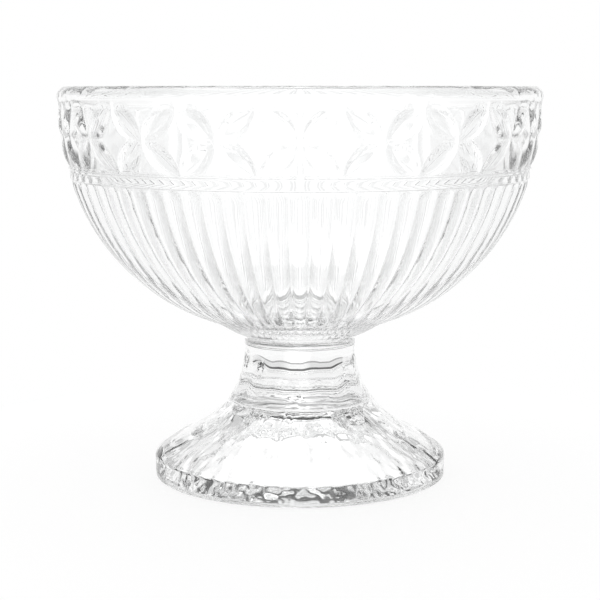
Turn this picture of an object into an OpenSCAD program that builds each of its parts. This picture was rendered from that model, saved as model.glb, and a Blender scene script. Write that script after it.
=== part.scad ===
// Footed ice cream cup in clear pressed glass, in millimetres.
// The origin is on the cup's axis, on the plane that the foot stands on. +Z is up and -Y is the front.

/* [Overall] */
// Height of the cup from the table to the top of the lip
cup_h = 90; // [86:1:96]
// Diameter over the rim bead
rim_d = 110.4; // [108:0.2:116]

/* [Bowl] */
// Radius of the arc that the rib crests follow
bowl_arc_r = 48.5; // [48:0.1:48.8]
// Distance from the axis to that arc's centre
bowl_arc_x = 5.7; // [5.4:0.1:5.8]
// Thickness of the glass, from a rib crest to the inside
bowl_wall = 3.3; // [2.6:0.1:4.2]
// Height of that arc's lowest point
bowl_arc_low = 33.9; // [33.4:0.1:34.4]
// Height of the bowl's flat bottom, where the collar is joined on
bowl_base_z = 32.6; // [32.2:0.1:32.9]
// Distance from the axis at which the underside turns down to the flat bottom
boss_r = 20; // [18.5:0.5:22]

/* [Ribs] */
// Number of ribs around the bowl
rib_count = 72; // [36:4:90]
// Depth of the grooves between the ribs
groove_depth = 0.55; // [0.2:0.05:1]
// Share of each rib's pitch that its groove takes
groove_share = 0.26; // [0.15:0.01:0.5]
// Height at which the ribs end
rib_top = 69.2; // [66:0.1:70.5]
// Height of the smooth edge between the ends of the grooves and the rib tops
rib_edge = 0.3; // [0.2:0.1:1]

/* [Plain ring] */
// Diameter of the plain ring above the ribs
ring_d = 105; // [104.8:0.1:106]

/* [Flower band] */
// Height of the band's lower edge
band_bottom = 71.8; // [71:0.1:73]
// Height of the band's upper edge
band_top = 86.1; // [85.5:0.1:86.3]
// Radius of the band's gentle outward curve, at the level of the petals
band_arc_r = 28; // [24:0.5:40]
// Largest radius of the band, at the level of the petals
band_max_r = 55.1; // [54.6:0.1:55.2]
// Height at which the band is widest
band_max_z = 83; // [80:0.5:84]
// Number of four-petal flowers around the band
flower_count = 20; // [12:1:24]
// Height of the petals above the field behind them
petal_relief = 0.45; // [0.2:0.05:1]
// Half the width of a petal
petal_half_w = 2.3; // [1.4:0.1:2.6]
// Gap left at each tip of a petal
petal_tip_gap = 0.4; // [0.2:0.05:1]

/* [Collar] */
// Height of the joining ring
collar_h = 1.7; // [1.5:0.05:1.75]
// Diameter of its lower end, on the stem
collar_neck_d = 25.8; // [25.2:0.2:27]
// Radius of the hollow curve that widens it up to the bowl
collar_cove_r = 1.8; // [1.75:0.05:2.6]

/* [Stem and foot] */
// Number of flat sides, an even number
side_count = 12; // [8:2:16]
// Turn of the flat sides about the axis, in degrees
side_turn = -4; // [-15:1:15]
// Width across flats at the waist of the stem
waist_across = 25.5; // [23:0.5:25.5]
// Height of the waist
waist_z = 30.2; // [29.6:0.1:30.3]
// Radius of the hollow curve from the waist down to the foot
flare_r = 22.5; // [22.4:0.1:23]
// Height at which the stem ends and the foot begins
foot_top_z = 17.5; // [17:0.5:21]

/* [Plinth] */
// Width across flats of the upright edge of the foot
plinth_across = 68; // [67:0.5:70]
// Height of the upright edge of the foot
plinth_h = 5.4; // [5.2:0.1:5.8]
// Width of the bevel at its top
plinth_edge = 0.6; // [0.3:0.1:1]
// Width of the bevel at its bottom
plinth_heel = 0.8; // [0.4:0.1:1.2]
// Angle of the straight slope from its top up to the hollow curve, in degrees
slope_angle = 32; // [31.5:0.5:35]

/* [Hollow under the foot] */
// Diameter of the hollow at the table
hollow_mouth_d = 58.5; // [52:0.5:60]
// Diameter of the hollow's flat top
hollow_top_d = 23; // [16:0.5:24]
// Depth of the hollow
hollow_depth = 14; // [10:0.5:14.5]

/* [Hidden] */
$fn = 180;
// Overlap that keeps a cutting shape clear of the face it cuts
over = 1;

rim_r = rim_d / 2;
bowl_arc_z = bowl_arc_low + bowl_arc_r;
inner_arc_r = bowl_arc_r - bowl_wall;
mouth_r = bowl_arc_x + inner_arc_r;
bead_r = (rim_r - mouth_r) / 2;
rib_pitch = 360 / rib_count;
groove_angle = rib_pitch * groove_share;

band_arc_x = band_max_r - band_arc_r;
band_mid_z = (band_top + band_bottom) / 2;
cell_half_h = (band_top - band_bottom) / 2;
cell_angle = 360 / flower_count;
cell_half_w = band_max_r * cell_angle / 2 * PI / 180;
petal_tilt = atan(cell_half_h / cell_half_w);
petal_half_l = norm([cell_half_w, cell_half_h]) / 2 - petal_tip_gap;
petal_side_r = (pow(petal_half_l, 2) + pow(petal_half_w, 2)) / (2 * petal_half_w);

collar_bottom_z = bowl_base_z - collar_h;
collar_neck_r = collar_neck_d / 2;
collar_top_r = collar_neck_r + collar_cove_r - sqrt(pow(collar_cove_r, 2) - pow(collar_h, 2));
boss_z = bowl_arc_z - sqrt(pow(bowl_arc_r, 2) - pow(boss_r - bowl_arc_x, 2));
boss_slope = (boss_z - bowl_base_z) / (boss_r - collar_top_r);
waist_r = waist_across / 2;
flare_x = waist_r + flare_r;
plinth_r = plinth_across / 2;
slope_start = [plinth_r - plinth_edge, plinth_h];
slope_dir = [-cos(slope_angle), sin(slope_angle)];
// The slope ends nearest the hollow curve's centre, just inside the curve
slope_end = slope_start + slope_dir * ([flare_x, waist_z] - slope_start) * slope_dir;

glass = [0.86, 0.91, 0.92];

// A circle in the section plane, centred at radius x and height z
module disc(x, z, r) {
    translate([x, z]) circle(r = r);
}

// A rectangle in the section plane, from the axis out to radius x and from height z0 to height z1
module slab(x, z0, z1) {
    translate([0, z0]) square([x, z1 - z0]);
}

// The round lower bowl in section, whose bottom is flat near the axis
module cup_arc(r) {
    disc(bowl_arc_x, bowl_arc_z, r);
    slab(bowl_arc_x, bowl_arc_z - r, bowl_arc_z);
}

// The flower band in section, out to its curve moved inwards by a depth
module band_arc(depth) {
    intersection() {
        disc(band_arc_x, band_max_z, band_arc_r - depth);
        slab(rim_r, band_bottom, band_top);
    }
    slab(band_arc_x, band_bottom, band_top);
}

// The conical boss under the bowl in section, which runs on a little inside the round bottom
module boss() {
    polygon([
        [0, bowl_base_z],
        [collar_top_r, bowl_base_z],
        [boss_r + over, boss_z + over * boss_slope],
        [0, boss_z + over * boss_slope],
    ]);
}

// The bowl's outline in section, filled to the axis
module bowl_outline() {
    intersection() {
        cup_arc(bowl_arc_r);
        slab(rim_r, bowl_base_z, rib_top);
    }
    boss();
    slab(ring_d / 2, rib_top, band_bottom);
    band_arc(petal_relief);
    slab(rim_r - bead_r, band_top, cup_h - bead_r);
    disc(rim_r - bead_r, cup_h - bead_r, bead_r);
}

// The space inside the bowl in section
module bowl_inside() {
    intersection() {
        cup_arc(inner_arc_r);
        slab(rim_r, bowl_base_z, bowl_arc_z);
    }
    slab(mouth_r, bowl_arc_z, cup_h + over);
}

// The grooves between the ribs
module rib_grooves() {
    for (i = [0 : rib_count - 1])
        rotate([0, 0, (i + 0.5) * rib_pitch - groove_angle / 2 - 90])
            rotate_extrude(angle = groove_angle)
                difference() {
                    intersection() {
                        disc(bowl_arc_x, bowl_arc_z, bowl_arc_r + over);
                        translate([boss_r + over, bowl_base_z])
                            square([rim_r, rib_top - rib_edge - bowl_base_z]);
                    }
                    disc(bowl_arc_x, bowl_arc_z, bowl_arc_r - groove_depth);
                }
}

// The leaf-shaped outline of one petal, lying along X
module petal_leaf() {
    intersection_for (side = [-1, 1])
        translate([0, side * (petal_side_r - petal_half_w)]) circle(r = petal_side_r);
}

// A bar of petal outline that points outwards at an azimuth from the front and at a height
module petal_bar(azimuth, height, tilt) {
    rotate([0, 0, azimuth])
        translate([0, 0, height])
            rotate([90, 0, 0])
                translate([0, 0, mouth_r + over])
                    linear_extrude(height = rim_r - mouth_r)
                        rotate(tilt) petal_leaf();
}

// The raised petals of all the flowers, rooted inside the wall
module petals() {
    intersection() {
        rotate_extrude() difference() {
            band_arc(0);
            slab(mouth_r + over, band_bottom - over, band_top + over);
        }
        for (i = [0 : flower_count - 1], across = [-1, 1], up = [-1, 1])
            petal_bar(
                azimuth = (i + across / 4) * cell_angle,
                height = band_mid_z + up * cell_half_h / 2,
                tilt = across * up * petal_tilt
            );
    }
}

// One pair of opposite flat sides: an outline mirrored about the axis and drawn out across the cup
module side_pair() {
    rotate([90, 0, 0])
        linear_extrude(height = 2 * rim_r, center = true) {
            children();
            mirror([1, 0]) children();
        }
}

// A solid with the same outline on every flat side
module sided() {
    intersection_for (i = [0 : side_count / 2 - 1])
        rotate([0, 0, side_turn + i * 360 / side_count]) side_pair() children();
}

// The stem in section, inside its hollow curve
module stem_outline() {
    difference() {
        slab(slope_end[0], foot_top_z, collar_bottom_z);
        disc(flare_x, waist_z, flare_r);
    }
}

// The foot in section: an upright bevelled edge and a straight slope, which runs into the hollow curve
module foot_outline() {
    difference() {
        polygon([
            [0, 0],
            [plinth_r - plinth_heel, 0],
            [plinth_r, plinth_heel],
            [plinth_r, plinth_h - plinth_edge],
            slope_start,
            slope_end,
            [slope_end[0], foot_top_z],
            [0, foot_top_z],
        ]);
        disc(flare_x, waist_z, flare_r);
    }
}

// Pressed bowl: lip, flower band, plain ring and ribs in one piece of glass
module bowl() {
    color(glass) {
        difference() {
            rotate_extrude() difference() {
                bowl_outline();
                bowl_inside();
            }
            rib_grooves();
        }
        petals();
    }
}

// Ring of glass that joins the bowl to the stem, hollowed at its edge
module collar() {
    color(glass) rotate_extrude() difference() {
        slab(collar_top_r, collar_bottom_z, bowl_base_z);
        disc(collar_neck_r + collar_cove_r, collar_bottom_z, collar_cove_r);
    }
}

// Solid waisted column with flat sides
module stem() {
    color(glass) sided() stem_outline();
}

// Flared base with flat sides and an upright edge, hollow underneath
module foot() {
    color(glass) difference() {
        sided() foot_outline();
        rotate_extrude() polygon([
            [0, -over],
            [hollow_mouth_d / 2, -over],
            [hollow_mouth_d / 2, 0],
            [hollow_top_d / 2, hollow_depth],
            [0, hollow_depth],
        ]);
    }
}

bowl();
collar();
stem();
foot();
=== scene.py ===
"""Footed ice cream cup in clear pressed glass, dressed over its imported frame.

Every piece of the cup is a section that turns about the cup's axis. One Geometry Nodes tree sweeps a
section round, and presses the ribs, the flowers, the flat sides and the mottle into the glass.
"""

from __future__ import annotations

import logging
import math
from dataclasses import asdict, dataclass, fields
from enum import Enum

import bpy
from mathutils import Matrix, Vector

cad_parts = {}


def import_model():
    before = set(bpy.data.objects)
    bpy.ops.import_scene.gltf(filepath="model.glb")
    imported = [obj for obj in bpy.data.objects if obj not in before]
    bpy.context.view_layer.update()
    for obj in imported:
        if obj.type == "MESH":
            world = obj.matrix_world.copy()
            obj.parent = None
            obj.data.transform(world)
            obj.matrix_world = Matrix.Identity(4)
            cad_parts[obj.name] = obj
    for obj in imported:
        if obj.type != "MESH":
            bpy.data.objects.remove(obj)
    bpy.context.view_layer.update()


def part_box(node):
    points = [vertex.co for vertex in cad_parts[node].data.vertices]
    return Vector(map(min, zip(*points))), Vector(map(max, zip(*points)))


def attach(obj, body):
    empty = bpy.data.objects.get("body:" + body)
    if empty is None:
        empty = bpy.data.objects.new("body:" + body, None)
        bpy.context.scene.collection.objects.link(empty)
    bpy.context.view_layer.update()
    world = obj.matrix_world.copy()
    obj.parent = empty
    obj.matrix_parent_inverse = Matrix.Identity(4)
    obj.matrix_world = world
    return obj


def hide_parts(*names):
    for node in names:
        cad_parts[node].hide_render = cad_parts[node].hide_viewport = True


LOG = logging.getLogger("ice_cream_cup")
MM = 0.001
BODY = "root"
WHITE = (1.0, 1.0, 1.0, 1.0)
# Says that a point lies outside the ribs or the flower band, or that a piece has no fused face there
OUTSIDE = -1.0


class Mark(Enum):
    """What a section notes at each of its points, as a named value of the section's mesh."""

    RIB_RUN = "rib_run"
    BAND_RISE = "band_rise"
    SOFT = "soft"
    MOTTLE = "mottle"
    OUT_RADIAL = "out_radial"
    OUT_UP = "out_up"


@dataclass(frozen=True)
class SectionPoint:
    """One point of a section, in metres.

    Attributes:
        radius: Distance from the axis.
        height: Height above the table.
        rib_run: Distance below the rib tops, along the glass, or OUTSIDE.
        band_rise: Height above the flower band's lower edge, or OUTSIDE.
        soft: Roundness of the corners between flat sides, from 0 where sharp to 1 where round.
        mottle: Height of the uneven skin that the press leaves there.
    """

    radius: float
    height: float
    rib_run: float = OUTSIDE
    band_rise: float = OUTSIDE
    soft: float = 1.0
    mottle: float = 0.0


class Section:
    """A piece's outline in a half plane through the axis, drawn with the glass on its left."""

    def __init__(self) -> None:
        """Starts with no points."""
        self.points: list[SectionPoint] = []

    def add(self, radius: float, height: float, **marks: float) -> Section:
        """Adds one point.

        Args:
            radius: Distance from the axis.
            height: Height above the table.
            marks: Values of the point's other fields.

        Returns:
            The section, so that calls can follow one another.
        """
        self.points.append(SectionPoint(max(radius, 0.0), height, **marks))
        return self

    def line(self, radius: float, height: float, steps: int, **marks: float) -> Section:
        """Adds a straight run from the last point.

        Args:
            radius: Where the run ends, from the axis.
            height: Where the run ends, above the table.
            steps: Number of points to add.
            marks: Values of the points' other fields.

        Returns:
            The section.
        """
        start = self.points[-1]
        for step in range(1, steps + 1):
            share = step / steps
            self.add(
                start.radius + (radius - start.radius) * share,
                start.height + (height - start.height) * share,
                **marks,
            )
        return self

    def arc(
        self,
        centre: tuple[float, float],
        radius: float,
        start: float,
        end: float,
        steps: int,
        **marks: float,
    ) -> Section:
        """Adds points on an arc, both ends included.

        Args:
            centre: The arc's centre, as radius and height.
            radius: The arc's own radius.
            start: Angle of the first point, in degrees above the outward horizontal.
            end: Angle of the last point.
            steps: Number of spaces between points.
            marks: Values of the points' other fields.

        Returns:
            The section.
        """
        for step in range(steps + 1):
            angle = math.radians(start + (end - start) * step / steps)
            self.add(centre[0] + radius * math.cos(angle), centre[1] + radius * math.sin(angle), **marks)
        return self

    def outward(self, index: int) -> tuple[float, float]:
        """Finds the direction out of the glass at a point.

        Args:
            index: The point's place in the section.

        Returns:
            The direction's radial and upward parts.
        """
        before = self.points[max(index - 1, 0)]
        after = self.points[min(index + 1, len(self.points) - 1)]
        run, rise = after.radius - before.radius, after.height - before.height
        length = math.hypot(run, rise) or 1.0
        return rise / length, -run / length

    def mesh(self, name: str) -> bpy.types.Mesh:
        """Makes a mesh of the section's points and edges, with its marks as named values.

        Args:
            name: The mesh's name.

        Returns:
            The new mesh.
        """
        mesh = bpy.data.meshes.new(name)
        edges = [(i, i + 1) for i in range(len(self.points) - 1)]
        mesh.from_pydata([(p.radius, 0.0, p.height) for p in self.points], edges, [])
        outward = [self.outward(i) for i in range(len(self.points))]
        values = {
            Mark.RIB_RUN: [p.rib_run for p in self.points],
            Mark.BAND_RISE: [p.band_rise for p in self.points],
            Mark.SOFT: [p.soft for p in self.points],
            Mark.MOTTLE: [p.mottle for p in self.points],
            Mark.OUT_RADIAL: [o[0] for o in outward],
            Mark.OUT_UP: [o[1] for o in outward],
        }
        for mark, numbers in values.items():
            mesh.attributes.new(mark.value, "FLOAT", "POINT").data.foreach_set("value", numbers)
        return mesh


class Field:
    """A number that a node tree works out at each place, written with plain operators."""

    def __init__(self, tree: bpy.types.NodeTree, socket: bpy.types.NodeSocket) -> None:
        """Keeps the tree and the socket that gives the number."""
        self.tree = tree
        self.socket = socket

    def math(self, operation: str, *others: Field | float) -> Field:
        """Adds a Math node that starts from this number.

        Args:
            operation: The node's operation.
            others: Its other inputs.

        Returns:
            The node's result.
        """
        node = self.tree.nodes.new("ShaderNodeMath")
        node.operation = operation
        self.tree.links.new(self.socket, node.inputs[0])
        for place, other in enumerate(others, start=1):
            if isinstance(other, Field):
                self.tree.links.new(other.socket, node.inputs[place])
            else:
                node.inputs[place].default_value = other
        return Field(self.tree, node.outputs[0])

    def __add__(self, other: Field | float) -> Field:
        """Sum."""
        return self.math("ADD", other)

    def __sub__(self, other: Field | float) -> Field:
        """Difference."""
        return self.math("SUBTRACT", other)

    def __mul__(self, other: Field | float) -> Field:
        """Product."""
        return self.math("MULTIPLY", other)

    def __truediv__(self, other: Field | float) -> Field:
        """Quotient."""
        return self.math("DIVIDE", other)

    def absolute(self) -> Field:
        """Size without sign."""
        return self.math("ABSOLUTE")

    def squared(self) -> Field:
        """Product with itself."""
        return self * self

    def root(self) -> Field:
        """Square root, 0 below 0."""
        return self.at_least(0.0).math("SQRT")

    def floor(self) -> Field:
        """Whole number below."""
        return self.math("FLOOR")

    def sine(self) -> Field:
        """Sine of an angle in radians."""
        return self.math("SINE")

    def cosine(self) -> Field:
        """Cosine of an angle in radians."""
        return self.math("COSINE")

    def at_least(self, other: Field | float) -> Field:
        """The larger of two."""
        return self.math("MAXIMUM", other)

    def at_most(self, other: Field | float) -> Field:
        """The smaller of two."""
        return self.math("MINIMUM", other)

    def above(self, other: Field | float) -> Field:
        """1 where this is larger, 0 elsewhere."""
        return self.math("GREATER_THAN", other)

    def below(self, other: Field | float) -> Field:
        """1 where this is smaller, 0 elsewhere."""
        return self.math("LESS_THAN", other)

    def left_of_one(self) -> Field:
        """1 less this."""
        return self * -1.0 + 1.0

    def off_centre(self) -> Field:
        """How far this is from the nearest whole number, from 0 to a half."""
        shifted = self + 0.5
        return (shifted - shifted.floor() - 0.5).absolute()

    def past(self, limit: float, blur: float) -> Field:
        """Adds a smooth step at a limit.

        Args:
            limit: The middle of the step.
            blur: The width of the step.

        Returns:
            0 below the step, 1 above it, and a smooth rise between.
        """
        node = self.tree.nodes.new("ShaderNodeMapRange")
        node.interpolation_type = "SMOOTHSTEP"
        node.inputs["From Min"].default_value = limit - blur / 2
        node.inputs["From Max"].default_value = limit + blur / 2
        self.tree.links.new(self.socket, node.inputs["Value"])
        return Field(self.tree, node.outputs["Result"])

    def before(self, limit: float, blur: float) -> Field:
        """1 well below a limit and 0 well above it, with the same smooth step."""
        return self.past(limit, blur).left_of_one()

    def between(self, low: float, high: float, blur: float) -> Field:
        """1 from one limit to another and 0 outside them, with a smooth step at each."""
        return self.past(low, blur) - self.past(high, blur)


def split(tree: bpy.types.NodeTree, vector: bpy.types.NodeSocket) -> tuple[Field, Field, Field]:
    """Splits a vector into its three numbers.

    Args:
        tree: The tree that the vector is in.
        vector: The socket that gives it.

    Returns:
        The numbers along X, Y and Z.
    """
    parts = tree.nodes.new("ShaderNodeSeparateXYZ")
    tree.links.new(vector, parts.inputs[0])
    x, y, z = (Field(tree, socket) for socket in parts.outputs)
    return x, y, z


def seen_by_glass(tree: bpy.types.NodeTree) -> Field:
    """Tells the rays that the glass refracts or mirrors from others.

    Args:
        tree: The tree of a material or of the world.

    Returns:
        1 on those rays, and 0 on others.
    """
    path = tree.nodes.new("ShaderNodeLightPath")
    mirrored = Field(tree, path.outputs["Is Glossy Ray"])
    return mirrored.at_least(Field(tree, path.outputs["Is Transmission Ray"]))


def show_mix(
    tree: bpy.types.NodeTree, share: bpy.types.NodeSocket, first: bpy.types.Node, second: bpy.types.Node
) -> None:
    """Makes a mix of two shaders the surface of a material.

    Args:
        tree: The material's tree.
        share: The second shader's share.
        first: The first shader.
        second: The second shader.
    """
    mix = tree.nodes.new("ShaderNodeMixShader")
    tree.links.new(share, mix.inputs["Fac"])
    tree.links.new(first.outputs["BSDF"], mix.inputs[1])
    tree.links.new(second.outputs["BSDF"], mix.inputs[2])
    tree.links.new(mix.outputs["Shader"], tree.nodes["Material Output"].inputs["Surface"])


@dataclass(frozen=True)
class Relief:
    """What the press leaves on a piece of glass, in metres and degrees.

    Attributes:
        columns: Number of points round the axis.
        rib_count: Number of ribs, crest to the front.
        rib_depth: Depth of the grooves where the bowl is widest.
        rib_low_radius: Radius at which the grooves begin.
        rib_full_radius: Radius at which the grooves have their full depth.
        rib_power: How flat the ribs are: 2 for a plain round back, more for one with narrow grooves.
        rib_end: Length over which the grooves rise out of the glass at their lower end.
        flower_count: Number of four-petal flowers, one to the front.
        flower_radius: Radius that the flowers are drawn at.
        band_height: Height of the flower band.
        petal_relief: Height of a petal's middle.
        petal_half_width: Half the width of a petal.
        petal_tip_gap: Gap left at each tip of a petal.
        side_count: Number of flat sides.
        side_turn: Turn of the flat sides about the axis.
        mottle_scale: Number of lumps in the uneven skin to a metre.
        mottle_flat: How many times wider than tall those lumps are.
        joint_low: Height of the fused face below, or OUTSIDE.
        joint_high: Height of the fused face above, or OUTSIDE.
    """

    columns: int = 360
    rib_count: int = 72
    rib_depth: float = 0.0
    rib_low_radius: float = 0.0
    rib_full_radius: float = 1.0
    rib_power: float = 2.0
    rib_end: float = 1.0
    flower_count: int = 20
    flower_radius: float = 1.0
    band_height: float = 1.0
    petal_relief: float = 0.0
    petal_half_width: float = 0.1
    petal_tip_gap: float = 0.0
    side_count: int = 12
    side_turn: float = 0.0
    mottle_scale: float = 200.0
    mottle_flat: float = 1.0
    joint_low: float = OUTSIDE
    joint_high: float = OUTSIDE


@dataclass(frozen=True)
class GlassSkin:
    """The two materials of a piece of glass.

    Attributes:
        glass: The material of its bare skin.
        joint: The material of the faces where it is fused to another piece.
    """

    glass: bpy.types.Material
    joint: bpy.types.Material


class PressTree:
    """The Geometry Nodes tree that turns a section about the axis and presses the relief into it."""

    # Kind of input for each type of value
    SOCKETS = {
        "int": "NodeSocketInt",
        "float": "NodeSocketFloat",
        "bpy.types.Material": "NodeSocketMaterial",
    }
    MERGE_DISTANCE = 1e-6
    JOINT_TOLERANCE = 2e-6
    # Keeps the first point of a column from being counted into the column before it
    INDEX_SLACK = 1e-6
    MOTTLE_DETAIL = 2.0
    NOISE_MIDDLE = 0.5

    def __init__(self) -> None:
        """Builds the tree, with one named input for each size in Relief and material in GlassSkin."""
        self.tree = bpy.data.node_groups.new("pressed_glass", "GeometryNodeTree")
        self.tree.is_modifier = True
        self.identifiers: dict[str, str] = {}
        face = self.tree.interface
        face.new_socket("Section", in_out="INPUT", socket_type="NodeSocketGeometry")
        for value in (*fields(Relief), *fields(GlassSkin)):
            socket = face.new_socket(value.name, in_out="INPUT", socket_type=self.SOCKETS[value.type])
            self.identifiers[value.name] = socket.identifier
        face.new_socket("Glass", in_out="OUTPUT", socket_type="NodeSocketGeometry")
        self.inputs = self.node("NodeGroupInput")
        self.draw()

    def node(self, kind: str, **settings: object) -> bpy.types.Node:
        """Adds a node.

        Args:
            kind: The node's type.
            settings: Values of its properties.

        Returns:
            The node.
        """
        node = self.tree.nodes.new(kind)
        for name, value in settings.items():
            setattr(node, name, value)
        return node

    def link(self, source: bpy.types.NodeSocket, target: bpy.types.NodeSocket) -> None:
        """Joins two sockets."""
        self.tree.links.new(source, target)

    def size(self, name: str) -> Field:
        """Gives one of the tree's named inputs as a field."""
        return Field(self.tree, self.inputs.outputs[name])

    def number(self, value: float) -> Field:
        """Adds a plain number.

        Args:
            value: The number.

        Returns:
            The number as a field.
        """
        node = self.node("ShaderNodeValue")
        node.outputs[0].default_value = value
        return Field(self.tree, node.outputs[0])

    def position(self) -> bpy.types.NodeSocket:
        """Gives a point's own place."""
        return self.node("GeometryNodeInputPosition").outputs[0]

    def vector(self, x: Field, y: Field, z: Field) -> bpy.types.NodeSocket:
        """Joins three numbers into a vector.

        Args:
            x: The number along X.
            y: The number along Y.
            z: The number along Z.

        Returns:
            The socket that gives the vector.
        """
        node = self.node("ShaderNodeCombineXYZ")
        for part, socket in zip((x, y, z), node.inputs):
            self.link(part.socket, socket)
        return node.outputs[0]

    def sampled(self, row: Field, kind: str, source: bpy.types.NodeSocket) -> bpy.types.NodeSocket:
        """Reads a value of the section at a row.

        Args:
            row: The point's place in the section.
            kind: The value's type.
            source: The value on the section.

        Returns:
            The socket that gives the value.
        """
        node = self.node("GeometryNodeSampleIndex", data_type=kind, domain="POINT")
        self.link(self.inputs.outputs["Section"], node.inputs["Geometry"])
        self.link(source, node.inputs["Value"])
        self.link(row.socket, node.inputs["Index"])
        return node.outputs["Value"]

    def marked(self, row: Field, mark: Mark) -> Field:
        """Reads one of the section's marks at a row.

        Args:
            row: The point's place in the section.
            mark: The mark to read.

        Returns:
            The mark's value.
        """
        node = self.node("GeometryNodeInputNamedAttribute", data_type="FLOAT")
        node.inputs["Name"].default_value = mark.value
        return Field(self.tree, self.sampled(row, "FLOAT", node.outputs["Attribute"]))

    def grooves(self, turn: Field, radius: Field, run: Field) -> Field:
        """Works out how deep the ribs' grooves are.

        Args:
            turn: Share of a full turn from the front.
            radius: Distance from the axis.
            run: Distance below the rib tops.

        Returns:
            The depth: 0 on a rib's crest, and full between ribs and beyond their rounded tops.
        """
        count = self.size("rib_count")
        half_width = radius * math.pi / count
        across = (turn * count).off_centre() * half_width * 2.0
        into_top = (half_width - run).at_least(0.0)
        share = ((across.squared() + into_top.squared()).root() / half_width).at_most(1.0)
        low = self.size("rib_low_radius")
        grown = (radius / self.size("rib_full_radius")).at_most(1.0)
        begun = ((radius - low) / self.size("rib_end")).at_least(0.0).at_most(1.0)
        shape = share.math("POWER", self.size("rib_power"))
        return self.size("rib_depth") * grown * begun * shape * run.above(0.0)

    def petals(self, turn: Field, rise: Field) -> Field:
        """Works out how high the petals stand.

        Args:
            turn: Share of a full turn from the front.
            rise: Height above the band's lower edge.

        Returns:
            The height: a round pillow on four leaves that run from a flower's middle to its corners.
        """
        count = self.size("flower_count")
        half_w = self.size("flower_radius") * math.pi / count
        half_h = self.size("band_height") * 0.5
        reach = (half_w.squared() + half_h.squared()).root()
        x = (turn * count).off_centre() * half_w * 2.0
        y = (rise - half_h).absolute()
        along = (x * half_w + y * half_h) / reach - reach * 0.5
        beside = (y * half_w - x * half_h) / reach
        leaf_w = self.size("petal_half_width")
        leaf_l = reach * 0.5 - self.size("petal_tip_gap")
        side_radius = (leaf_l.squared() + leaf_w.squared()) / (leaf_w * 2.0)
        width = (side_radius.squared() - along.squared()).root() - side_radius + leaf_w
        pillow = (width.at_least(0.0).squared() - beside.squared()).root() / leaf_w
        return self.size("petal_relief") * pillow * rise.above(0.0)

    def side_stretch(self, turn: Field, soft: Field) -> Field:
        """Works out how far flat sides with rounded corners reach, as a multiple of their middle's radius.

        Args:
            turn: Share of a full turn from the front.
            soft: Radius of the corners, as a share of the radius at a side's middle.

        Returns:
            The multiple: 1 at a side's middle, and the most at a corner.
        """
        count = self.size("side_count")
        half_side = self.number(math.pi) / count
        from_middle = ((turn - self.size("side_turn") / 360.0) * count).off_centre() * half_side * 2.0
        from_corner = half_side - from_middle
        centre = soft.left_of_one() / half_side.cosine()
        edge = soft * half_side.sine() / (centre + soft * half_side.cosine())
        bent = centre * from_corner.cosine()
        bent = bent + (soft.squared() - (centre * from_corner.sine()).squared()).root()
        straight = from_middle.cosine().math("POWER", -1.0)
        is_flat = from_corner.above(edge.math("ARCTANGENT"))
        return bent + (straight - bent) * is_flat

    def uneven(self) -> Field:
        """Works out the uneven skin that the press leaves, from a fixed noise in space.

        Returns:
            A number about 0, for how far the skin stands out or in.
        """
        x, y, z = split(self.tree, self.position())
        noise = self.node("ShaderNodeTexNoise", noise_dimensions="3D")
        noise.inputs["Detail"].default_value = self.MOTTLE_DETAIL
        self.link(self.vector(x, y, z * self.size("mottle_flat")), noise.inputs["Vector"])
        self.link(self.inputs.outputs["mottle_scale"], noise.inputs["Scale"])
        return Field(self.tree, noise.outputs[0]) - self.NOISE_MIDDLE

    def draw(self) -> None:
        """Lays out the tree from the section to the finished glass."""
        rows = self.node("GeometryNodeAttributeDomainSize", component="MESH")
        self.link(self.inputs.outputs["Section"], rows.inputs["Geometry"])
        row_count = Field(self.tree, rows.outputs["Point Count"])
        columns = self.size("columns")
        grid = self.node("GeometryNodeMeshGrid")
        self.link((columns + 1.0).socket, grid.inputs["Vertices X"])
        self.link(row_count.socket, grid.inputs["Vertices Y"])

        index = Field(self.tree, self.node("GeometryNodeInputIndex").outputs[0])
        column = (index / row_count + self.INDEX_SLACK).floor()
        row = index - column * row_count
        turn = column / columns
        radius, _, height = split(self.tree, self.sampled(row, "FLOAT_VECTOR", self.position()))

        wide = radius * self.side_stretch(turn, self.marked(row, Mark.SOFT))
        relief = self.petals(turn, self.marked(row, Mark.BAND_RISE))
        relief = relief - self.grooves(turn, radius, self.marked(row, Mark.RIB_RUN))
        reach = wide + relief * self.marked(row, Mark.OUT_RADIAL)
        level = height + relief * self.marked(row, Mark.OUT_UP)
        swept = self.placed(grid.outputs["Mesh"], turn, reach, level)

        store = self.node("GeometryNodeStoreNamedAttribute", data_type="FLOAT", domain="POINT")
        store.inputs["Name"].default_value = Mark.MOTTLE.value
        self.link(swept, store.inputs["Geometry"])
        self.link(self.marked(row, Mark.MOTTLE).socket, store.inputs["Value"])
        self.finish(self.mottled(self.closed(store.outputs["Geometry"])))

    def placed(
        self, mesh: bpy.types.NodeSocket, turn: Field, reach: Field, level: Field
    ) -> bpy.types.NodeSocket:
        """Puts the grid's points round the axis.

        Args:
            mesh: The grid.
            turn: Share of a full turn from the front.
            reach: Distance from the axis.
            level: Height above the table.

        Returns:
            The swept mesh.
        """
        angle = turn * (2.0 * math.pi)
        put = self.node("GeometryNodeSetPosition")
        self.link(mesh, put.inputs["Geometry"])
        place = self.vector(reach * angle.sine(), reach * angle.cosine() * -1.0, level)
        self.link(place, put.inputs["Position"])
        return put.outputs["Geometry"]

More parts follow.
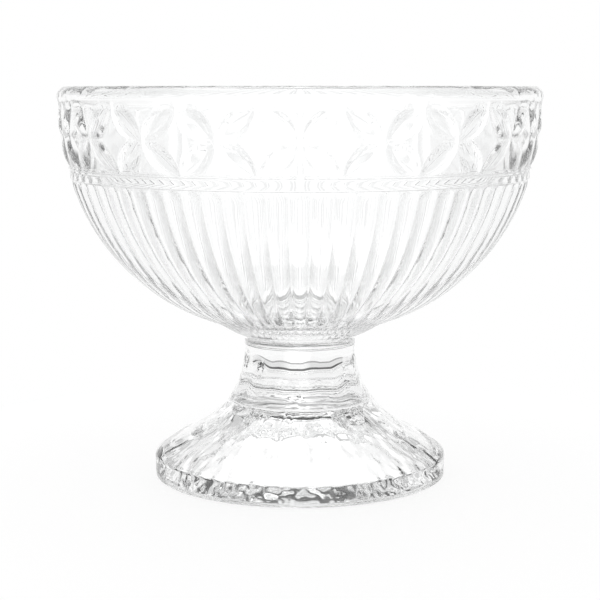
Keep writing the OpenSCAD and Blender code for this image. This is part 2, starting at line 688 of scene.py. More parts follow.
    def closed(self, mesh: bpy.types.NodeSocket) -> bpy.types.NodeSocket:
        """Closes the seam and the poles, and smooths the shading.

        Args:
            mesh: The swept mesh.

        Returns:
            The closed mesh.
        """
        merge = self.node("GeometryNodeMergeByDistance")
        merge.inputs["Distance"].default_value = self.MERGE_DISTANCE
        self.link(mesh, merge.inputs["Geometry"])
        smooth = self.node("GeometryNodeSetShadeSmooth", domain="FACE")
        self.link(merge.outputs["Geometry"], smooth.inputs["Geometry"])
        return smooth.outputs["Geometry"]

    def mottled(self, mesh: bpy.types.NodeSocket) -> bpy.types.NodeSocket:
        """Moves points along their normals by the uneven skin, where the section asks for it.

        Args:
            mesh: The closed mesh.

        Returns:
            The mottled mesh.
        """
        height = self.node("GeometryNodeInputNamedAttribute", data_type="FLOAT")
        height.inputs["Name"].default_value = Mark.MOTTLE.value
        amount = self.uneven() * Field(self.tree, height.outputs["Attribute"])
        scale = self.node("ShaderNodeVectorMath", operation="SCALE")
        self.link(self.node("GeometryNodeInputNormal").outputs[0], scale.inputs[0])
        self.link(amount.socket, scale.inputs["Scale"])
        put = self.node("GeometryNodeSetPosition")
        self.link(mesh, put.inputs["Geometry"])
        self.link(scale.outputs["Vector"], put.inputs["Offset"])
        return put.outputs["Geometry"]

    def finish(self, mesh: bpy.types.NodeSocket) -> None:
        """Gives the glass and the fused faces their materials, and ends the tree.

        Args:
            mesh: The mottled mesh.
        """
        _, _, z = split(self.tree, self.position())
        from_low = (z - self.size("joint_low")).absolute()
        from_high = (z - self.size("joint_high")).absolute()
        fused = from_low.at_most(from_high).below(self.JOINT_TOLERANCE)
        realize = self.node("GeometryNodeRealizeInstances")
        self.link(mesh, realize.inputs["Geometry"])
        last = realize.outputs["Geometry"]
        for name, chosen in (("glass", None), ("joint", fused)):
            dress = self.node("GeometryNodeSetMaterial")
            self.link(last, dress.inputs["Geometry"])
            self.link(self.inputs.outputs[name], dress.inputs["Material"])
            if chosen is not None:
                self.link(chosen.socket, dress.inputs["Selection"])
            last = dress.outputs["Geometry"]
        self.link(last, self.node("NodeGroupOutput").inputs["Glass"])

    def press(self, name: str, section: Section, relief: Relief, skin: GlassSkin) -> bpy.types.Object:
        """Makes a piece of glass as a plain mesh.

        Args:
            name: The piece's name.
            section: Its outline.
            relief: What is pressed into it.
            skin: Its materials.

        Returns:
            The piece, at the origin, with its place in its mesh.
        """
        source = bpy.data.objects.new(name + "_section", section.mesh(name + "_section"))
        bpy.context.scene.collection.objects.link(source)
        modifier = source.modifiers.new("press", "NODES")
        modifier.node_group = self.tree
        values = asdict(relief) | {"glass": skin.glass, "joint": skin.joint}
        for value_name, value in values.items():
            modifier[self.identifiers[value_name]] = value
        graph = bpy.context.evaluated_depsgraph_get()
        mesh = bpy.data.meshes.new_from_object(source.evaluated_get(graph), depsgraph=graph)
        mesh.name = name
        mesh.materials.pop(index=0)  # the empty slot that a new grid comes with
        source.modifiers.remove(modifier)
        bpy.data.objects.remove(source)
        piece = bpy.data.objects.new(name, mesh)
        bpy.context.scene.collection.objects.link(piece)
        return piece


@dataclass(frozen=True)
class PressedGlass:
    """Finish of clear colourless pressed glass, fire polished.

    Attributes:
        tint: What the glass lets through at each pass.
        refraction: Index of refraction.
        shade: What lamps' light keeps at each face, for the shadow.
        wave_scale: Number of slow waves in the skin to a metre.
        wave_detail: Number of finer waves on them.
        wave_height: Height of those waves, in metres.
        haze: Most roughness, in the cloudy patches that the press leaves.
        haze_low: Height of a wave, from 0 to 1, at which the patches begin.
        haze_high: Height of a wave at which they are cloudiest.
    """

    tint: tuple[float, float, float, float] = (0.993, 0.996, 0.996, 1.0)
    refraction: float = 1.52
    shade: tuple[float, float, float, float] = (0.985, 0.987, 0.987, 1.0)
    wave_scale: float = 110.0
    wave_detail: float = 1.0
    wave_height: float = 0.04 * MM
    haze: float = 0.03
    haze_low: float = 0.45
    haze_high: float = 0.75

    def material(self) -> bpy.types.Material:
        """Makes the glass.

        Returns:
            The material, with waves and haze from nodes.
        """
        material = bpy.data.materials.new("clear_pressed_glass")
        material.use_nodes = True
        nodes, links = material.node_tree.nodes, material.node_tree.links
        skin = nodes["Principled BSDF"]
        skin.inputs["Base Color"].default_value = self.tint
        skin.inputs["Transmission Weight"].default_value = 1.0
        skin.inputs["IOR"].default_value = self.refraction
        place = nodes.new("ShaderNodeTexCoord")
        waves = nodes.new("ShaderNodeTexNoise")
        waves.inputs["Scale"].default_value = self.wave_scale
        waves.inputs["Detail"].default_value = self.wave_detail
        links.new(place.outputs["Object"], waves.inputs["Vector"])
        bump = nodes.new("ShaderNodeBump")
        bump.inputs["Distance"].default_value = self.wave_height
        links.new(waves.outputs[0], bump.inputs["Height"])
        links.new(bump.outputs["Normal"], skin.inputs["Normal"])
        cloud = nodes.new("ShaderNodeMapRange")
        cloud.inputs["From Min"].default_value = self.haze_low
        cloud.inputs["From Max"].default_value = self.haze_high
        cloud.inputs["To Max"].default_value = self.haze
        links.new(waves.outputs[0], cloud.inputs["Value"])
        links.new(cloud.outputs["Result"], skin.inputs["Roughness"])
        self.let_lamps_through(material.node_tree, skin)
        return material

    def let_lamps_through(self, tree: bpy.types.NodeTree, skin: bpy.types.Node) -> None:
        """Lets lamps' light pass with a faint loss, so that the shadow is as light as a real glass's.

        Args:
            tree: The material's tree.
            skin: The shader of the glass.
        """
        path = tree.nodes.new("ShaderNodeLightPath")
        clear = tree.nodes.new("ShaderNodeBsdfTransparent")
        clear.inputs["Color"].default_value = self.shade
        show_mix(tree, path.outputs["Is Shadow Ray"], skin, clear)


@dataclass(frozen=True)
class FusedJoint:
    """Finish of the faces where two pieces of glass are fused: nothing to see, as inside one piece."""

    clear: tuple[float, float, float, float] = WHITE

    def material(self) -> bpy.types.Material:
        """Makes the clear material of a fused face.

        Returns:
            The material.
        """
        material = bpy.data.materials.new("fused_joint")
        material.use_nodes = True
        nodes, links = material.node_tree.nodes, material.node_tree.links
        nodes.remove(nodes["Principled BSDF"])
        clear = nodes.new("ShaderNodeBsdfTransparent")
        clear.inputs["Color"].default_value = self.clear
        links.new(clear.outputs["BSDF"], nodes["Material Output"].inputs["Surface"])
        return material


@dataclass
class Bowl:
    """The pressed bowl: lip, flower band, plain ring and ribs in one piece of glass.

    Attributes:
        rim_radius: Radius over the lip's bead.
        lip_height: Height of the lip's top.
        base_height: Height of the flat base, where the collar is fused on.
        base_radius: Radius of that base.
        arc_radius: Radius of the arc that the rib crests follow.
        arc_offset: Distance from the axis to that arc's centre.
        arc_low: Height of that arc's lowest point.
        blend_radius: Radius at which the underside leaves the arc and slopes down to the base.
        wall: Thickness of the glass, from a rib's crest to the inside.
        rib_depth: Depth of the grooves where the bowl is widest.
        rib_power: How flat the ribs' backs are.
        rib_low: Radius at which the grooves begin.
        rib_end: Length over which the grooves rise out of the glass there.
        rib_top: Height at which the ribs end.
        rib_crown: Length of the ribs' tops, where the rows lie closer together.
        rib_brink: Distance below the rib tops at which the grooves stop.
        ring_radius: Radius of the plain ring.
        fillet: Radius of the small rounding beside that ring.
        band_low: Height of the flower band's lower edge.
        band_high: Height of its upper edge.
        band_arc_radius: Radius of its gentle outward curve, at the level of the petals.
        band_widest_radius: Its largest radius, at the level of the petals.
        band_widest_height: Height at which it is widest.
        petal_relief: Height of a petal's middle above the field behind it.
        petal_half_width: Half the width of a petal.
        petal_tip_gap: Gap left at each tip of a petal.
        lip_blend: Height that is left at the band's upper edge for the turn into the lip.
        lip_start: Angle at which the lip's bead begins, in degrees above the outward horizontal.
        columns: Number of points round the axis.
        boss_rows: Number of rows from the base to the arc.
        rib_rows: Number of rows up the ribs, to their tops.
        crown_rows: Number of rows in their tops.
        fillet_rows: Number of rows in the small rounding.
        band_rows: Number of rows in the flower band.
        lip_rows: Number of rows round the lip.
        inside_rows: Number of rows down the inside.
    """

    rim_radius: float
    lip_height: float
    base_height: float
    base_radius: float
    arc_radius: float = 48.5 * MM
    arc_offset: float = 5.7 * MM
    arc_low: float = 33.9 * MM
    blend_radius: float = 20.0 * MM
    wall: float = 3.3 * MM
    rib_depth: float = 0.42 * MM
    rib_power: float = 2.6
    rib_low: float = 17.0 * MM
    rib_end: float = 3.0 * MM
    rib_top: float = 69.2 * MM
    rib_crown: float = 2.6 * MM
    rib_brink: float = 0.03 * MM
    ring_radius: float = 52.5 * MM
    fillet: float = 0.35 * MM
    band_low: float = 71.8 * MM
    band_high: float = 86.1 * MM
    band_arc_radius: float = 28.0 * MM
    band_widest_radius: float = 55.1 * MM
    band_widest_height: float = 83.0 * MM
    petal_relief: float = 0.42 * MM
    petal_half_width: float = 2.3 * MM
    petal_tip_gap: float = 0.3 * MM
    lip_blend: float = 0.7 * MM
    lip_start: float = -22.0
    columns: int = 1008
    boss_rows: int = 3
    rib_rows: int = 24
    crown_rows: int = 8
    fillet_rows: int = 3
    band_rows: int = 26
    lip_rows: int = 13
    inside_rows: int = 12

    def section(self) -> Section:
        """Draws the bowl's outline, from the middle of its base, up its outside and down its inside.

        Returns:
            The section.
        """
        section = Section().add(0.0, self.base_height)
        self.ribbed(section)
        self.ring(section)
        self.band(section)
        self.lip(section)
        self.inside(section)
        return section

    def ribbed(self, section: Section) -> None:
        """Adds the underside and the ribs, with rows closer together at the ribs' rounded tops.

        Args:
            section: The outline so far.
        """
        centre_height = self.arc_low + self.arc_radius
        start = -math.acos((self.blend_radius - self.arc_offset) / self.arc_radius)
        end = math.asin((self.rib_top - centre_height) / self.arc_radius)
        length = (end - start) * self.arc_radius
        section.line(self.base_radius, self.base_height, steps=1, rib_run=length)
        blend_height = centre_height + self.arc_radius * math.sin(start)
        section.line(self.blend_radius, blend_height, self.boss_rows, rib_run=length)
        below = length - self.rib_crown
        runs = [length - below * row / self.rib_rows for row in range(1, self.rib_rows + 1)]
        runs += [self.rib_crown * (1 - row / self.crown_rows) for row in range(1, self.crown_rows)]
        runs += [self.rib_brink, 0.0]
        for run in runs:
            angle = end - run / self.arc_radius
            radius = self.arc_offset + self.arc_radius * math.cos(angle)
            section.add(radius, centre_height + self.arc_radius * math.sin(angle), rib_run=run)

    def ring(self, section: Section) -> None:
        """Adds the plain ring and the ledge under the flower band.

        Args:
            section: The outline so far.
        """
        section.line(self.ring_radius, self.rib_top + self.fillet, steps=1)
        section.line(self.ring_radius, self.band_low - 2 * self.fillet, steps=2)
        centre = (self.ring_radius + self.fillet, self.band_low - self.fillet)
        section.arc(centre, self.fillet, 180.0, 90.0, self.fillet_rows)

    def band(self, section: Section) -> None:
        """Adds the field behind the flower band's petals, on its gentle outward curve.

        Args:
            section: The outline so far.
        """
        field_radius = self.band_arc_radius - self.petal_relief
        centre = (self.band_widest_radius - self.band_arc_radius, self.band_widest_height)
        first = math.asin((self.band_low + self.fillet - centre[1]) / field_radius)
        last = math.asin((self.band_high - self.lip_blend - centre[1]) / field_radius)
        for row in range(self.band_rows + 1):
            angle = first + (last - first) * row / self.band_rows
            height = centre[1] + field_radius * math.sin(angle)
            radius = centre[0] + field_radius * math.cos(angle)
            section.add(radius, height, band_rise=height - self.band_low)

    def lip(self, section: Section) -> None:
        """Adds the half-round lip, whose bead stands out over the band.

        Args:
            section: The outline so far.
        """
        bead = (self.rim_radius - self.mouth_radius()) / 2
        centre = (self.rim_radius - bead, self.lip_height - bead)
        section.arc(centre, bead, self.lip_start, 180.0, self.lip_rows)

    def mouth_radius(self) -> float:
        """Radius of the mouth inside the lip."""
        return self.arc_offset + self.arc_radius - self.wall

    def inside(self, section: Section) -> None:
        """Adds the smooth inside, down to the middle of the bowl's bottom.

        Args:
            section: The outline so far.
        """
        centre = (self.arc_offset, self.arc_low + self.arc_radius)
        section.arc(centre, self.arc_radius - self.wall, 0.0, -90.0, self.inside_rows)
        section.line(0.0, self.arc_low + self.wall, steps=1)

    def build(self, press: PressTree, skin: GlassSkin) -> bpy.types.Object:
        """Makes the bowl.

        Args:
            press: The tree that presses glass.
            skin: The glass's materials.

        Returns:
            The piece.
        """
        relief = Relief(
            columns=self.columns,
            rib_depth=self.rib_depth,
            rib_low_radius=self.rib_low,
            rib_full_radius=self.ring_radius,
            rib_power=self.rib_power,
            rib_end=self.rib_end,
            flower_radius=self.band_widest_radius,
            band_height=self.band_high - self.band_low,
            petal_relief=self.petal_relief,
            petal_half_width=self.petal_half_width,
            petal_tip_gap=self.petal_tip_gap,
            joint_low=self.base_height,
        )
        return press.press("glass_bowl", self.section(), relief, skin)


@dataclass
class Collar:
    """The round ring of glass between the bowl and the stem, hollowed at its edge.

    Attributes:
        low: Height of its lower face, on the stem.
        high: Height of its upper face, under the bowl.
        cove_radius: Radius of its hollow edge.
        neck_radius: Radius of its lower face.
        rows: Number of rows in its hollow edge.
    """

    low: float
    high: float
    cove_radius: float = 1.8 * MM
    neck_radius: float = 12.9 * MM
    rows: int = 10

    def build(self, press: PressTree, skin: GlassSkin) -> bpy.types.Object:
        """Makes the collar.

        Args:
            press: The tree that presses glass.
            skin: The glass's materials.

        Returns:
            The piece.
        """
        rise = math.degrees(math.asin((self.high - self.low) / self.cove_radius))
        section = Section().add(0.0, self.low)
        centre = (self.neck_radius + self.cove_radius, self.low)
        section.arc(centre, self.cove_radius, 180.0, 180.0 - rise, self.rows).add(0.0, self.high)
        relief = Relief(joint_low=self.low, joint_high=self.high)
        return press.press("glass_collar", section, relief, skin)


@dataclass
class Pedestal:
    """The solid waisted stem and the hollow flared foot, which share flat sides and one hollow curve.

    Radii are those at the middle of a flat side.

    Attributes:
        stem_high: Height of the stem's top, where the collar is fused on.
        stem_low: Height at which the stem ends and the foot begins.
        neck_radius: Radius of the stem's top, as the collar's.
        waist_radius: Radius of the waist.
        waist_height: Height of the waist.
        flare_radius: Radius of the hollow curve from the waist down to the foot.
        side_turn: Turn of the flat sides about the axis, in degrees.
        stem_soft: Roundness of the corners between the stem's flat sides.
        plinth_soft: Roundness of the corners at the foot's upright edge.
        plinth_radius: Radius of the foot's upright edge.
        plinth_upright: Height at which that edge begins to turn into its rounded top.
        plinth_round: Radius of its rounded top.
        round_start: Angle at which that top begins, in degrees above the outward horizontal.
        heel: Radius of its rounded bottom.
        heel_start: Angle at which that bottom begins.
        slope_radius: Radius at which the slope begins.
        slope_height: Height at which the slope begins.
        slope_angle: Angle of the slope, in degrees.
        hollow_mouth: Radius of the hollow at the table.
        hollow_top: Radius of the hollow's top.
        hollow_depth: Depth of the hollow.
        hollow_round: Width of the slanting edge round its top.
        hollow_drop: Height of that edge.
        bevel_width: Width of the bevel between the hollow and the ring that the cup stands on.
        bevel_height: Height of that bevel.
        hollow_mottle: Height of the uneven skin in the hollow.
        plinth_mottle: Height of the uneven skin on the upright edge.
        mottle_scale: Number of lumps in the uneven skin to a metre.
        mottle_flat: How many times wider than tall those lumps are.
        neck_power: How late the stem widens to its neck.
        fade_power: How late its corners fade out below the collar.
        flare_power: How much closer the hollow curve's rows lie at its foot.
        foot_columns: Number of points round the foot.
        stem_rows: Number of rows up the stem.
        slope_rows: Number of rows up the slope.
        flare_rows: Number of rows up the hollow curve of the foot.
        edge_rows: Number of rows in each stretch of the upright edge.
        top_rows: Number of rows across the hollow's top.
        hollow_rows: Number of rows down the hollow.
    """

    stem_high: float
    stem_low: float
    neck_radius: float
    waist_radius: float = 12.75 * MM
    waist_height: float = 30.2 * MM
    flare_radius: float = 22.5 * MM
    side_turn: float = -4.0
    stem_soft: float = 0.4
    plinth_soft: float = 0.95
    plinth_radius: float = 34.0 * MM
    plinth_upright: float = 4.4 * MM
    plinth_round: float = 0.9 * MM
    round_start: float = 12.0
    heel: float = 0.4 * MM
    heel_start: float = -75.0
    slope_radius: float = 33.4 * MM
    slope_height: float = 5.4 * MM
    slope_angle: float = 32.0
    hollow_mouth: float = 29.25 * MM
    hollow_top: float = 11.5 * MM
    hollow_depth: float = 14.0 * MM
    hollow_round: float = 2.0 * MM
    hollow_drop: float = 0.6 * MM
    bevel_width: float = 0.5 * MM
    bevel_height: float = 0.4 * MM
    hollow_mottle: float = 0.8 * MM
    plinth_mottle: float = 0.24 * MM
    mottle_scale: float = 360.0
    mottle_flat: float = 3.0
    neck_power: int = 8
    fade_power: int = 4
    flare_power: float = 1.2
    foot_columns: int = 540
    stem_rows: int = 26
    slope_rows: int = 10
    flare_rows: int = 20
    edge_rows: int = 5
    top_rows: int = 8
    hollow_rows: int = 22

    def flare(self, height: float) -> float:
        """Radius of the hollow curve at a height."""
        drop = max(self.waist_height - height, 0.0)
        return self.waist_radius + self.flare_radius - math.sqrt(self.flare_radius**2 - drop**2)

    def build_stem(self, press: PressTree, skin: GlassSkin) -> bpy.types.Object:
        """Makes the stem, whose flat sides fade out at the round collar.

        Args:
            press: The tree that presses glass.
            skin: The glass's materials.

        Returns:
            The piece.
        """
        section = Section().add(0.0, self.stem_low)
        for row in range(self.stem_rows + 1):
            share = row / self.stem_rows
            height = self.stem_low + (self.stem_high - self.stem_low) * share
            widened = (self.neck_radius - self.waist_radius) * share**self.neck_power
            soft = self.stem_soft + (1.0 - self.stem_soft) * share**self.fade_power
            section.add(self.flare(height) + widened, height, soft=soft)
        section.add(0.0, self.stem_high)
        relief = Relief(side_turn=self.side_turn, joint_low=self.stem_low, joint_high=self.stem_high)
        return press.press("glass_stem", section, relief, skin)

    def build_foot(self, press: PressTree, skin: GlassSkin) -> bpy.types.Object:
        """Makes the foot.

        Args:
            press: The tree that presses glass.
            skin: The glass's materials.

        Returns:
            The piece.
        """
        section = Section().add(0.0, self.hollow_depth, mottle=self.hollow_mottle)
        self.hollow(section)
        self.plinth(section)
        self.slope(section)
        section.add(0.0, self.stem_low)
        relief = Relief(
            columns=self.foot_columns,
            side_turn=self.side_turn,
            mottle_scale=self.mottle_scale,
            mottle_flat=self.mottle_flat,
            joint_high=self.stem_low,
        )
        return press.press("glass_foot", section, relief, skin)

    def hollow(self, section: Section) -> None:
        """Adds the hollow under the foot, from its rough top down to the ring that the cup stands on.

        Args:
            section: The outline so far.
        """
        top, mouth, mottle = self.hollow_top, self.hollow_mouth, self.hollow_mottle
        section.line(top - self.hollow_round, self.hollow_depth, self.top_rows, mottle=mottle)
        section.line(top, self.hollow_depth - self.hollow_drop, steps=2, mottle=mottle)
        section.line(mouth - self.bevel_width, self.bevel_height, self.hollow_rows, mottle=mottle)
        section.line(mouth, 0.0, steps=2)

    def plinth(self, section: Section) -> None:
        """Adds the upright edge of the foot, from the ring that the cup stands on to its rounded top.

        Args:
            section: The outline so far.
        """
        soft, rows = self.plinth_soft, self.edge_rows
        centre = (self.plinth_radius - self.heel, self.heel)
        section.line(centre[0], 0.0, steps=2, soft=soft)
        section.arc(centre, self.heel, self.heel_start, 0.0, rows, soft=soft)
        section.line(self.plinth_radius, self.plinth_upright, rows, soft=soft, mottle=self.plinth_mottle)
        centre = (self.plinth_radius - self.plinth_round, self.plinth_upright)
        section.arc(centre, self.plinth_round, self.round_start, 90.0 - self.slope_angle, rows, soft=soft)

    def slope(self, section: Section) -> None:
        """Adds the straight slope, whose corners sharpen upwards, and the hollow curve above it.

        Args:
            section: The outline so far.
        """
        turn = math.radians(self.slope_angle)
        run = self.waist_radius + self.flare_radius - self.slope_radius
        rise = self.waist_height - self.slope_height
        middle = rise * math.sin(turn) - run * math.cos(turn)
        apart = run * math.sin(turn) + rise * math.cos(turn)
        length = middle - math.sqrt(self.flare_radius**2 - apart**2)
        for row in range(self.slope_rows + 1):
            share = row / self.slope_rows
            soft = self.plinth_soft + (self.stem_soft - self.plinth_soft) * share
            along = length * share
            radius = self.slope_radius - along * math.cos(turn)
            section.add(radius, self.slope_height + along * math.sin(turn), soft=soft)
        start = section.points[-1].height
        for row in range(1, self.flare_rows + 1):
            height = start + (self.stem_low - start) * (row / self.flare_rows) ** self.flare_power
            section.add(self.flare(height), height, soft=self.stem_soft)


@dataclass(frozen=True)
class GlassOnlyPaintedShade:
    """Painted shade on the floor that only the glass sees: dark curved arcs before and behind the stem,
    cast by nothing.

    Attributes:
        inner: Radius of its inner line.
        outer: Radius of its outer line.
        line: Width of each line.
        inner_shade: Darkness of the inner line.
        outer_shade: Darkness of the outer line.
        between_shade: Darkness of the floor between the lines.
        side: How far it reaches to each side of straight behind or before the stem, in degrees.
        side_blur: Width of its soft ends, in degrees.
    """

    inner: float = 43.5 * MM
    outer: float = 64.0 * MM
    line: float = 6.0 * MM
    inner_shade: float = 0.95
    outer_shade: float = 0.6
    between_shade: float = 0.2
    side: float = 32.0
    side_blur: float = 7.0

    def shade(self, tree: bpy.types.NodeTree) -> Field:
        """Works out the painted shade that the glass sees on the floor.

        Args:
            tree: The floor material's tree.

        Returns:
            The darkness, from 0 where the glass looks straight through the floor.
        """
        place = tree.nodes.new("ShaderNodeTexCoord")
        x, y, _ = split(tree, place.outputs["Object"])
        radius = (x.squared() + y.squared()).root()
        aside = x.absolute().math("ARCTAN2", y.absolute()).math("DEGREES")
        blur = self.line / 2
        # painted shade: a dark inner arc, a lighter outer arc and faint shade between them
        inner_shade_arc = radius.between(self.inner, self.inner + self.line, blur) * self.inner_shade
        outer_shade_arc = radius.between(self.outer, self.outer + self.line, blur) * self.outer_shade
        shade = radius.between(self.inner, self.outer, blur) * self.between_shade
        return shade.at_least(inner_shade_arc).at_least(outer_shade_arc) * aside.before(self.side, self.side_blur)


@dataclass(frozen=True)
class PaleFloor:
    """Finish of the plain pale floor, through which the glass sees the studio, darkened in places by
    painted shade.

    Attributes:
        grey: Share of the light on it that its paint gives back.
        roughness: Roughness of its paint.
        shine: Light that it gives by itself, so that the camera sees it white.
        outline: The painted shade that only the glass sees on it.
    """

    grey: float = 0.15
    roughness: float = 0.8
    shine: float = 0.85
    # painted shade: dark arcs on the floor that only the glass sees
    outline: GlassOnlyPaintedShade = GlassOnlyPaintedShade()

    def material(self) -> bpy.types.Material:
        """Makes the floor's material.

        Returns:
            The material: paint to the camera, and to the glass clear but for the painted shade.
        """
        material = bpy.data.materials.new("pale_floor")
        material.use_nodes = True
        tree = material.node_tree
        paint = tree.nodes["Principled BSDF"]
        paint.inputs["Base Color"].default_value = (self.grey, self.grey, self.grey, 1.0)
        paint.inputs["Roughness"].default_value = self.roughness
        paint.inputs["Emission Color"].default_value = WHITE
        paint.inputs["Emission Strength"].default_value = self.shine
        clear = tree.nodes.new("ShaderNodeBsdfTransparent")
        # painted shade: glass rays pass through the floor, darkened where the painted arcs lie
        tree.links.new(self.outline.shade(tree).left_of_one().socket, clear.inputs["Color"])
        show_mix(tree, seen_by_glass(tree).socket, paint, clear)
        return material


@dataclass(frozen=True)
class LightTent:
    """The studio all round: white to the camera, a plain fill to the floor, and soft boxes to the glass.

    Angles are in degrees, upwards from level and sideways from straight behind the cup.

    Attributes:
        fill: Brightness of the plain fill.
        backdrop: Brightness of the white table and backdrop.
        backdrop_rise: Height of the backdrop at the sides.
        backdrop_peak: How much higher it is before and behind the cup.
        backlight: Brightness that a lamp behind the cup adds to the backdrop.
        backlight_side: How far that lamp reaches to each side.
        glow: Brightness of the glow over the backdrop.
        glow_top: Height of the glow.
        glow_side: How far the glow reaches to each side.
        box_low: Height of the side soft boxes' lower edges.
        box_high: Height of their upper edges.
        box_back: Sideways angle of their edges towards the back.
        box_front: Sideways angle of their edges towards the front.
        room: Brightness of the dark room.
        blur: Width of all the soft edges.
    """

    fill: float = 0.8
    backdrop: float = 0.98
    backdrop_rise: float = 5.0
    backdrop_peak: float = 13.0
    backlight: float = 0.25
    backlight_side: float = 6.0
    glow: float = 0.6
    glow_top: float = 36.0
    glow_side: float = 45.0
    box_low: float = 27.0
    box_high: float = 75.0
    box_back: float = 47.0
    box_front: float = 98.0
    room: float = 0.06
    blur: float = 7.0

    def around(self, tree: bpy.types.NodeTree) -> Field:
        """Works out how bright the studio is that the glass refracts and mirrors.

        Args:
            tree: The world's tree.

        Returns:
            The brightness: a white table and backdrop, a glow behind the cup, a soft box at each side,
            and a dark room.
        """
        place = tree.nodes.new("ShaderNodeTexCoord")
        x, y, z = split(tree, place.outputs["Generated"])
        azimuth = x.math("ARCTAN2", y)
        from_back = azimuth.absolute().math("DEGREES")
        up = z.math("ARCSINE").math("DEGREES")
        peak = (azimuth * 2.0).cosine().at_least(0.0)
        over_peak = up - peak * self.backdrop_peak
        lamp = from_back.before(self.backlight_side, self.blur) * self.backlight + self.backdrop
        backdrop = over_peak.before(self.backdrop_rise, self.blur) * lamp
        behind = from_back.before(self.glow_side, self.blur)
        glow = up.before(self.glow_top, self.blur) * behind * self.glow
        beside = from_back.between(self.box_back, self.box_front, self.blur)
        boxes = up.between(self.box_low, self.box_high, self.blur) * beside
        return backdrop.at_least(glow).at_least(boxes).at_least(self.room)

    def pitch(self) -> None:
        """Makes the studio the scene's world."""
        world = bpy.data.worlds.new("studio")
        bpy.context.scene.world = world
        world.use_nodes = True
        tree = world.node_tree
        tree.nodes.clear()
        path = tree.nodes.new("ShaderNodeLightPath")
        seen = Field(tree, path.outputs["Is Camera Ray"])
        lit = (self.around(tree) - self.fill) * seen_by_glass(tree) + self.fill
        light = tree.nodes.new("ShaderNodeBackground")
        light.inputs["Color"].default_value = WHITE
        tree.links.new(lit.at_least(seen).socket, light.inputs["Strength"])
        output = tree.nodes.new("ShaderNodeOutputWorld")
        tree.links.new(light.outputs[0], output.inputs["Surface"])


@dataclass(frozen=True)
class SoftBox:
    """The round soft box overhead, in metres, watts and degrees.

    Attributes:
        size: Its diameter.
        power: Its power.
        place: Where it hangs.
        tilt: Its turns about X, Y and Z, which point it at the foot.
    """

    size: float = 0.5
    power: float = 1.0
    place: tuple[float, float, float] = (-0.15, 0.1, 0.8)
    tilt: tuple[float, float, float] = (-7.0, -10.6, 0.0)

    def hang(self) -> None:
        """Adds the lamp to the scene."""
        lamp = bpy.data.lights.new("soft_box", "AREA")
        lamp.shape = "DISK"
        lamp.size = self.size
        lamp.energy = self.power
        box = bpy.data.objects.new("soft_box", lamp)
        box.location = self.place
        box.rotation_euler = [math.radians(angle) for angle in self.tilt]
        bpy.context.scene.collection.objects.link(box)


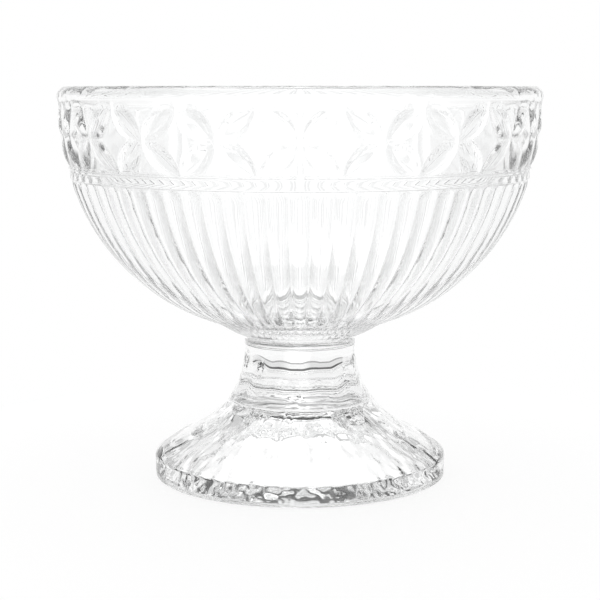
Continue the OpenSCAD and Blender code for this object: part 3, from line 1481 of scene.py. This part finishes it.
@dataclass
class Studio:
    """The plain pale floor, the soft light and the camera.

    Attributes:
        floor_radius: Radius of the round floor.
        floor_gap: Gap between the floor and the foot.
        floor_corners: Number of points round the floor.
        camera_distance: How far the camera stands in front of the axis.
        camera_height: Height of the camera above the table.
        camera_pitch: How far the camera looks down, in degrees.
        camera_near: Nearest distance that the camera sees.
        focal_pixels: Focal length in pixels of the photograph.
        picture_pixels: Width of the photograph in pixels.
        sensor_width: Width of the camera's sensor, in millimetres.
        glass_passes: Most times that light passes into or out of glass.
        mirror_passes: Most times that it is mirrored.
        clear_passes: Most times that it passes a clear face.
    """

    floor_radius: float = 0.11
    floor_gap: float = 0.2 * MM
    floor_corners: int = 96
    camera_distance: float = 348.2 * MM
    camera_height: float = 89.57 * MM
    camera_pitch: float = 8.02
    camera_near: float = 0.01
    focal_pixels: float = 1505.0
    picture_pixels: float = 600.0
    sensor_width: float = 36.0
    glass_passes: int = 32
    mirror_passes: int = 16
    clear_passes: int = 64

    def camera(self) -> None:
        """Makes the camera at the photograph's viewing angle."""
        data = bpy.data.cameras.new("camera")
        data.sensor_width = self.sensor_width
        data.lens = self.sensor_width * self.focal_pixels / self.picture_pixels
        data.clip_start = self.camera_near
        camera = bpy.data.objects.new("camera", data)
        camera.location = (0.0, -self.camera_distance, self.camera_height)
        camera.rotation_euler = (math.radians(90.0 - self.camera_pitch), 0.0, 0.0)
        bpy.context.scene.collection.objects.link(camera)
        bpy.context.scene.camera = camera

    def floor(self) -> bpy.types.Object:
        """Makes the floor.

        Returns:
            The floor, a round table just under the foot.
        """
        mesh = bpy.data.meshes.new("floor")
        count, radius = self.floor_corners, self.floor_radius
        angles = [2 * math.pi * i / count for i in range(count)]
        points = [(radius * math.cos(a), radius * math.sin(a), -self.floor_gap) for a in angles]
        mesh.from_pydata(points, [], [tuple(range(count))])
        mesh.materials.append(PaleFloor().material())
        floor = bpy.data.objects.new("floor", mesh)
        bpy.context.scene.collection.objects.link(floor)
        return floor

    def light(self) -> None:
        """Makes the soft box overhead and the light tent round the cup."""
        SoftBox().hang()
        LightTent().pitch()

    def settings(self) -> None:
        """Sets the plain view and enough passes through the glass."""
        scene = bpy.context.scene
        scene.view_settings.view_transform = "Standard"
        scene.cycles.max_bounces = self.glass_passes
        scene.cycles.transmission_bounces = self.glass_passes
        scene.cycles.glossy_bounces = self.mirror_passes
        scene.cycles.transparent_max_bounces = self.clear_passes
        scene.cycles.caustics_refractive = False
        scene.cycles.caustics_reflective = False


@dataclass
class Cup:
    """The whole cup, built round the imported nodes.

    Attributes:
        bowl: The pressed bowl.
        collar: The ring between the bowl and the pedestal.
        pedestal: The stem and the foot.
    """

    bowl: Bowl
    collar: Collar
    pedestal: Pedestal

    @classmethod
    def on_frame(cls) -> Cup:
        """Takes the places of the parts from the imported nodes.

        Returns:
            The cup, ready to build.
        """
        bowl_low, bowl_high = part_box("bowl")
        collar_low, collar_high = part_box("collar")
        stem_low, stem_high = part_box("stem")
        collar = Collar(low=collar_low[2], high=collar_high[2])
        bowl = Bowl(
            rim_radius=(bowl_high[0] - bowl_low[0]) / 2,
            lip_height=bowl_high[2],
            base_height=bowl_low[2],
            base_radius=(collar_high[0] - collar_low[0]) / 2,
        )
        pedestal = Pedestal(stem_high=stem_high[2], stem_low=stem_low[2], neck_radius=collar.neck_radius)
        return cls(bowl, collar, pedestal)

    def build(self) -> None:
        """Makes every piece of glass, and ties each to its node."""
        skin = GlassSkin(PressedGlass().material(), FusedJoint().material())
        press = PressTree()
        made = {
            "bowl": self.bowl.build(press, skin),
            "collar": self.collar.build(press, skin),
            "stem": self.pedestal.build_stem(press, skin),
            "foot": self.pedestal.build_foot(press, skin),
        }
        for node, piece in made.items():
            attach(piece, BODY)
            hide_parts(node)
            LOG.info("%s stands for %s: %d faces", piece.name, node, len(piece.data.polygons))


def main() -> None:
    """Loads the frame, and builds the cup and its studio."""
    logging.basicConfig(level=logging.INFO, format="%(name)s: %(message)s")
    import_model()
    Cup.on_frame().build()
    studio = Studio()
    studio.camera()
    studio.floor()
    studio.light()
    studio.settings()


if __name__ == "__main__":
    main()
